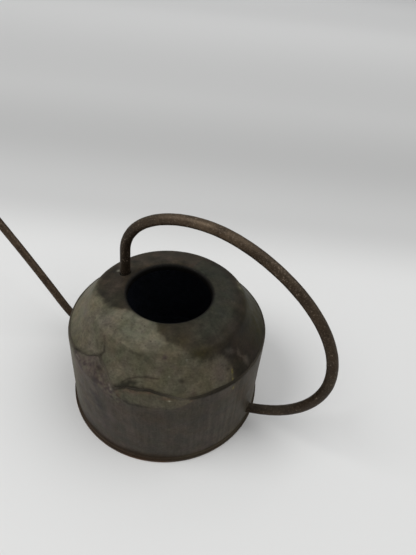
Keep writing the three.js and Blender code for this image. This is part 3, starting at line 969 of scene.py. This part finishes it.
def make_base_solder():
    """The solder that lies on the hem's top edge against the wall."""
    low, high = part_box("base_seam_solder")
    wall = high.x / MM - 1.1
    rim_top = low.z / MM - 0.3
    azimuths = np.linspace(0, 360, BODY_COLUMNS, endpoint=False)
    size = (1 + 0.25 * cloud(turned(azimuths, 82, 4), 7, 2))[:, None]
    section = np.array([
        (-0.3, -0.8), (0.9, -0.4), (1.0, 0.0), (0.5, 0.25), (0.15, 0.7), (-0.05, 1.3), (-0.3, 1.3)])
    radius = wall + section[:, 0] * size
    height = rim_top + section[:, 1] * size
    points = turned(azimuths[:, None], radius, height)
    lighter = ramp(-62, -40, on_chart(azimuths))[:, None]
    tones = lay(RED_DARK, 0.9 * lighter, 1.25 * UMBER)
    return grid_piece("base_solder_line", points, tones)


def rings(line, radius, sides):
    """Rings of points round a line in the plane Y = 0, one row for each point of the line."""
    side = sideways(line)
    turn = np.linspace(0, 2 * math.pi, sides, endpoint=False)
    x = line[:, :1] + radius * np.cos(turn) * side[:, :1]
    z = line[:, 1:] + radius * np.cos(turn) * side[:, 1:]
    return np.stack([x, np.broadcast_to(radius * np.sin(turn), x.shape), z], axis=-1)


def dented(points, line, depth):
    """Rings pulled in towards their line by a soft noise, by up to a depth in mm."""
    middle = np.stack([line[:, 0], np.zeros(len(line)), line[:, 1]], axis=-1)[:, None]
    pull = depth * np.clip(0.5 + 0.5 * cloud(points, 5, 3), 0, 1)
    return points - pull[..., None] * unit(points - middle)


def run_on(line, start, end):
    """The line with a straight stretch of a length added at its start and its end."""
    first = line[0] + unit(line[0] - line[1]) * start
    last = line[-1] + unit(line[-1] - line[-2]) * end
    return np.vstack([first, line, last])


def bar_tones(points):
    """The bar's blotched brown, darker at the handle's legs, the left one as painted shade down to the
    crown foot, with a painted highlight along its upper side and at the top of the handle.
    """
    share = np.clip(0.45 + 0.6 * cloud(points, 13, 3), 0, 1)
    x, z = points[..., 0], points[..., 2]
    colour = lay(BAR, share, BAR_DARK)
    colour = colour * (1 - 0.3 * ramp(150, 60, z) * ramp(105, 125, x))[..., None]
    # Painted shade: the left leg is darkened down to the crown foot.
    colour = colour * (1 - 0.42 * bell(x, -42, 14) * ramp(172, 150, z))[..., None]
    # Painted highlight: the upper side of the low run is laid pale.
    upward = z - z.mean(axis=1)[:, None]
    low_run = ramp(60, 40, z) * ramp(0, 60, x)
    top_highlight = (0.03 + 0.14 * low_run) * ramp(0.5, 4, upward) * ramp(-60, -40, x)
    colour = lay(colour, top_highlight, PALE)
    # Painted highlight: the top of the arch is laid lighter.
    arch = ramp(172, 181, z) * ramp(80, 30, x)
    return colour * (1 + 0.8 * arch + 0.2 * ramp(-60, -80, x))[..., None]


def make_handle():
    """The handle's bar, and its line. It is sunk into the crown, and ends inside the wall."""
    line = run_on(centreline("handle_bar", HANDLE_FOOT), start=4, end=5.4)
    line = resample(line, BAR_STEP)
    points = dented(rings(line, radius_of("handle_bar"), BAR_SIDES), line, 0.14)
    x, y, z = points[..., 0], points[..., 1], points[..., 2]
    near_wall = (x > 0) & (z < LOW_END)
    inner_face = np.sqrt(WALL_INSIDE ** 2 - y ** 2)
    points[..., 0] = np.where(near_wall, np.maximum(x, inner_face), x)
    near_crown = (x < 0) & (z < HIGH_END)
    sunk = np.clip(-SINK - above_body(points), 0, None)
    points[..., 2] = np.where(near_crown, z + sunk, z)
    return grid_piece("handle_bar_aged", points, bar_tones(points), wrap_rows=False), line


def make_spout():
    """The spout's tube: its outside from root to tip, and then its inside back to the root."""
    line = resample(centreline("spout_tube", SPOUT_ROOT), BAR_STEP)
    radius = radius_of("spout_tube")
    outer = dented(rings(line, radius, SPOUT_SIDES), line, 0.12)
    outer[-1] = rings(line, radius - 0.3, SPOUT_SIDES)[-1]
    inner = rings(line, radius - SHEET, SPOUT_SIDES)[::-1]
    points = np.concatenate([outer, inner])
    # Painted shade: the spout's bore is laid near-black.
    tones = np.concatenate([bar_tones(outer), np.broadcast_to(SHADE_BLACK, inner.shape)])
    return grid_piece("spout_tube_aged", points, tones)


def above_body(points):
    """How far points are outside the body, in mm: over the cone and crown, or off the wall."""
    radius, height = np.hypot(points[..., 0], points[..., 1]), points[..., 2]
    crown = CORE[(CORE_ALONG >= CROWN_SPAN[0]) & (CORE_ALONG < CROWN_SPAN[1])][::-1]
    wall = CORE[CORE_ALONG < WALL_TOP]
    over_crown = height - np.interp(radius, crown[:, 0], crown[:, 1])
    off_wall = radius - LAP - np.interp(height, wall[:, 1], wall[:, 0])
    return np.where(height > CONE_HEIGHT, over_crown, off_wall)


def make_fillet(name, foot, heading, bar_radius, spread, rise, colour):
    """A brazed fillet round a bar that leaves the body at its foot. Its points are slid along the
    bar onto the body, and then out by their own height."""
    axis = unit(np.array([heading[0], 0, heading[1]]))
    up = np.array([-axis[2], 0, axis[0]])
    turn = np.linspace(0, 2 * math.pi, FILLET_SIDES, endpoint=False)[:, None, None]
    outward = np.cos(turn) * (0, 1, 0) + np.sin(turn) * up
    section = np.array([
        (-0.4, -0.5), (spread, -0.4), (spread, 0.02), (0.55 * spread, 0.16 * rise),
        (0.2 * spread, 0.45 * rise), (0.05, rise), (-0.4, rise)])
    size = 1 + 0.2 * cloud(outward * bar_radius, 3, 2)
    reach = bar_radius + section[:, 0] * np.where(section[:, 0] > 0, size, 1)
    start = np.array([foot[0], 0, foot[1]]) + reach[..., None] * outward
    near = np.full(reach.shape, -float(FILLET_SEARCH))
    far = -near
    for _ in range(HALVINGS):
        middle = (near + far) / 2
        out = above_body(start + middle[..., None] * axis) > 0
        near, far = np.where(out, near, middle), np.where(out, middle, far)
    points = start + (near + section[:, 1])[..., None] * axis
    return grid_piece(name, points, colour)


def build_can():
    patina_wall = patina("wall_patina", (1, 1, 12))
    patina_shell = patina("shell_patina", (5, 5, 0.6))
    brown = bar_brown("bar_brown")
    dark = solder("dark_solder")
    braze = dull_braze("dull_braze")
    rim = copper("copper_rim")
    finish_piece(make_base_pan(), "base_pan", rim)
    finish_piece(make_base_solder(), "base_seam_solder", dark)
    finish_piece(make_wall(), "body_wall", patina_wall)
    finish_piece(make_wall_seam(), "wall_seam_braze", patina_wall)
    finish_piece(make_top_shell(), "top_shell", patina_shell)
    finish_piece(make_shoulder_solder(), "shoulder_seam_solder", dark)
    finish_piece(make_spout(), "spout_tube", brown)
    handle, line = make_handle()
    finish_piece(handle, "handle_bar", brown)
    bar = radius_of("handle_bar")
    tube = radius_of("spout_tube")
    fillets = [
        # Painted shade: the upper braze is laid nearly black for the contact shade round the bar's
        # foot.
        ("handle_top", HANDLE_FOOT, line[4] - line[0], bar, 0.5, 0.5, 0.5 * LINE_DARK),
        # Painted light: the lower braze takes the wall's lighter grey so that its contact shade reads
        # lighter.
        ("handle_bottom", line[-1], line[-5] - line[-1], bar, 0.5, 0.6, WALL_LIGHT),
        ("spout_root", SPOUT_ROOT, (-1, 0), tube, 1.2, 1.5, LINE_DARK),
    ]
    for place, *shape in fillets:
        finish_piece(make_fillet(f"{place}_braze", *shape), f"{place}_fillet", braze)


# ---- Floor, light and camera ----

CAMERA_PLACE = Vector((0.1307, -0.2174, 0.3366))
CAMERA_HEADING = math.radians(-24.55)  # from +Y towards +X
CAMERA_PITCH = math.radians(-39.73)
CAMERA_ROLL = math.radians(5.98)
CAMERA_LENS = 28.03
VIEW_AHEAD = Vector((math.sin(CAMERA_HEADING), math.cos(CAMERA_HEADING), 0))
VIEW_RIGHT = Vector((math.cos(CAMERA_HEADING), -math.sin(CAMERA_HEADING), 0))


def add_camera():
    ahead = VIEW_AHEAD * math.cos(CAMERA_PITCH) + Vector((0, 0, math.sin(CAMERA_PITCH)))
    up = VIEW_RIGHT.cross(ahead)
    across = math.cos(CAMERA_ROLL) * VIEW_RIGHT + math.sin(CAMERA_ROLL) * up
    upward = math.cos(CAMERA_ROLL) * up - math.sin(CAMERA_ROLL) * VIEW_RIGHT
    turn = Matrix((across, upward, -ahead)).transposed().to_4x4()
    camera = add_object("camera", bpy.data.cameras.new("camera"))
    camera.data.lens = CAMERA_LENS
    camera.data.clip_start = 0.01
    camera.matrix_world = Matrix.Translation(CAMERA_PLACE) @ turn
    bpy.context.scene.camera = camera


# The floor's grey at some distances past the can, in metres along the view, as on a paper sweep:
# painted shade where the sweep would turn up out of the light, and painted light further off against
# the lamps' falloff.
FLOOR_HALF_WIDTH = 4.0
FLOOR_DROP = 0.0001  # the floor lies this far below the base
FLOOR_DEPTH = 3.0
FLOOR_GREYS = [(0.17, 0.75), (0.31, 0.58), (0.52, 0.5), (0.85, 0.59), (2.0, 0.84), (3.0, 0.97)]


def add_floor():
    mesh = bpy.data.meshes.new("floor")
    signs = [(-1, -1), (1, -1), (1, 1), (-1, 1)]
    corners = [(x * FLOOR_HALF_WIDTH, y * FLOOR_HALF_WIDTH, -FLOOR_DROP) for x, y in signs]
    mesh.from_pydata(corners, [], [(0, 1, 2, 3)])
    floor = add_object("floor", mesh)
    material = bpy.data.materials.new("pale_floor")
    material.use_nodes = True
    tree = material.node_tree
    shader = tree.nodes["Principled BSDF"]
    shader.inputs["Roughness"].default_value = 0.7
    shader.inputs["Specular IOR Level"].default_value = 0.2
    place = tree.nodes.new("ShaderNodeTexCoord")
    depth = tree.nodes.new("ShaderNodeVectorMath")
    depth.operation = "DOT_PRODUCT"
    depth.inputs[1].default_value = VIEW_AHEAD / FLOOR_DEPTH
    # Painted shade and light on the floor, by distance along the view.
    greys = tree.nodes.new("ShaderNodeValToRGB")
    greys.color_ramp.interpolation = "EASE"
    for index, (distance, grey) in enumerate(FLOOR_GREYS):
        if index < 2:
            stop = greys.color_ramp.elements[index]
            stop.position = distance / FLOOR_DEPTH
        else:
            stop = greys.color_ramp.elements.new(distance / FLOOR_DEPTH)
        stop.color = (grey, grey, grey * 0.985, 1)
    tree.links.new(place.outputs["Object"], depth.inputs[0])
    tree.links.new(depth.outputs["Value"], greys.inputs["Fac"])
    tree.links.new(greys.outputs["Color"], shader.inputs["Base Color"])
    mesh.materials.append(material)


# Each light: metres to the right, ahead and up from the can, its size in metres and its watts.
LIGHTS = {
    "left_light": (-1.8, -0.5, 2.4, 1.9, 43),
    "right_light": (1.5, 0, 2.6, 3.0, 36),
}
WORLD_COLOUR = (0.97, 0.98, 1, 1)
WORLD_STRENGTH = 0.39


def add_light(name, right, ahead, up, size, power):
    """A round lamp that faces the can."""
    place = VIEW_RIGHT * right + VIEW_AHEAD * ahead + Vector((0, 0, up))
    light = add_object(name, bpy.data.lights.new(name, "AREA"))
    light.data.shape = "DISK"
    light.data.size = size
    light.data.energy = power
    light.location = place
    light.rotation_euler = (-place).to_track_quat("-Z", "Y").to_euler()


def add_world():
    world = bpy.data.worlds.new("studio")
    world.use_nodes = True
    background = world.node_tree.nodes["Background"]
    background.inputs["Color"].default_value = WORLD_COLOUR
    background.inputs["Strength"].default_value = WORLD_STRENGTH
    bpy.context.scene.world = world


build_can()
add_floor()
add_camera()
for light_name, settings in LIGHTS.items():
    add_light(light_name, *settings)
add_world()
bpy.context.scene.view_settings.view_transform = "Standard"
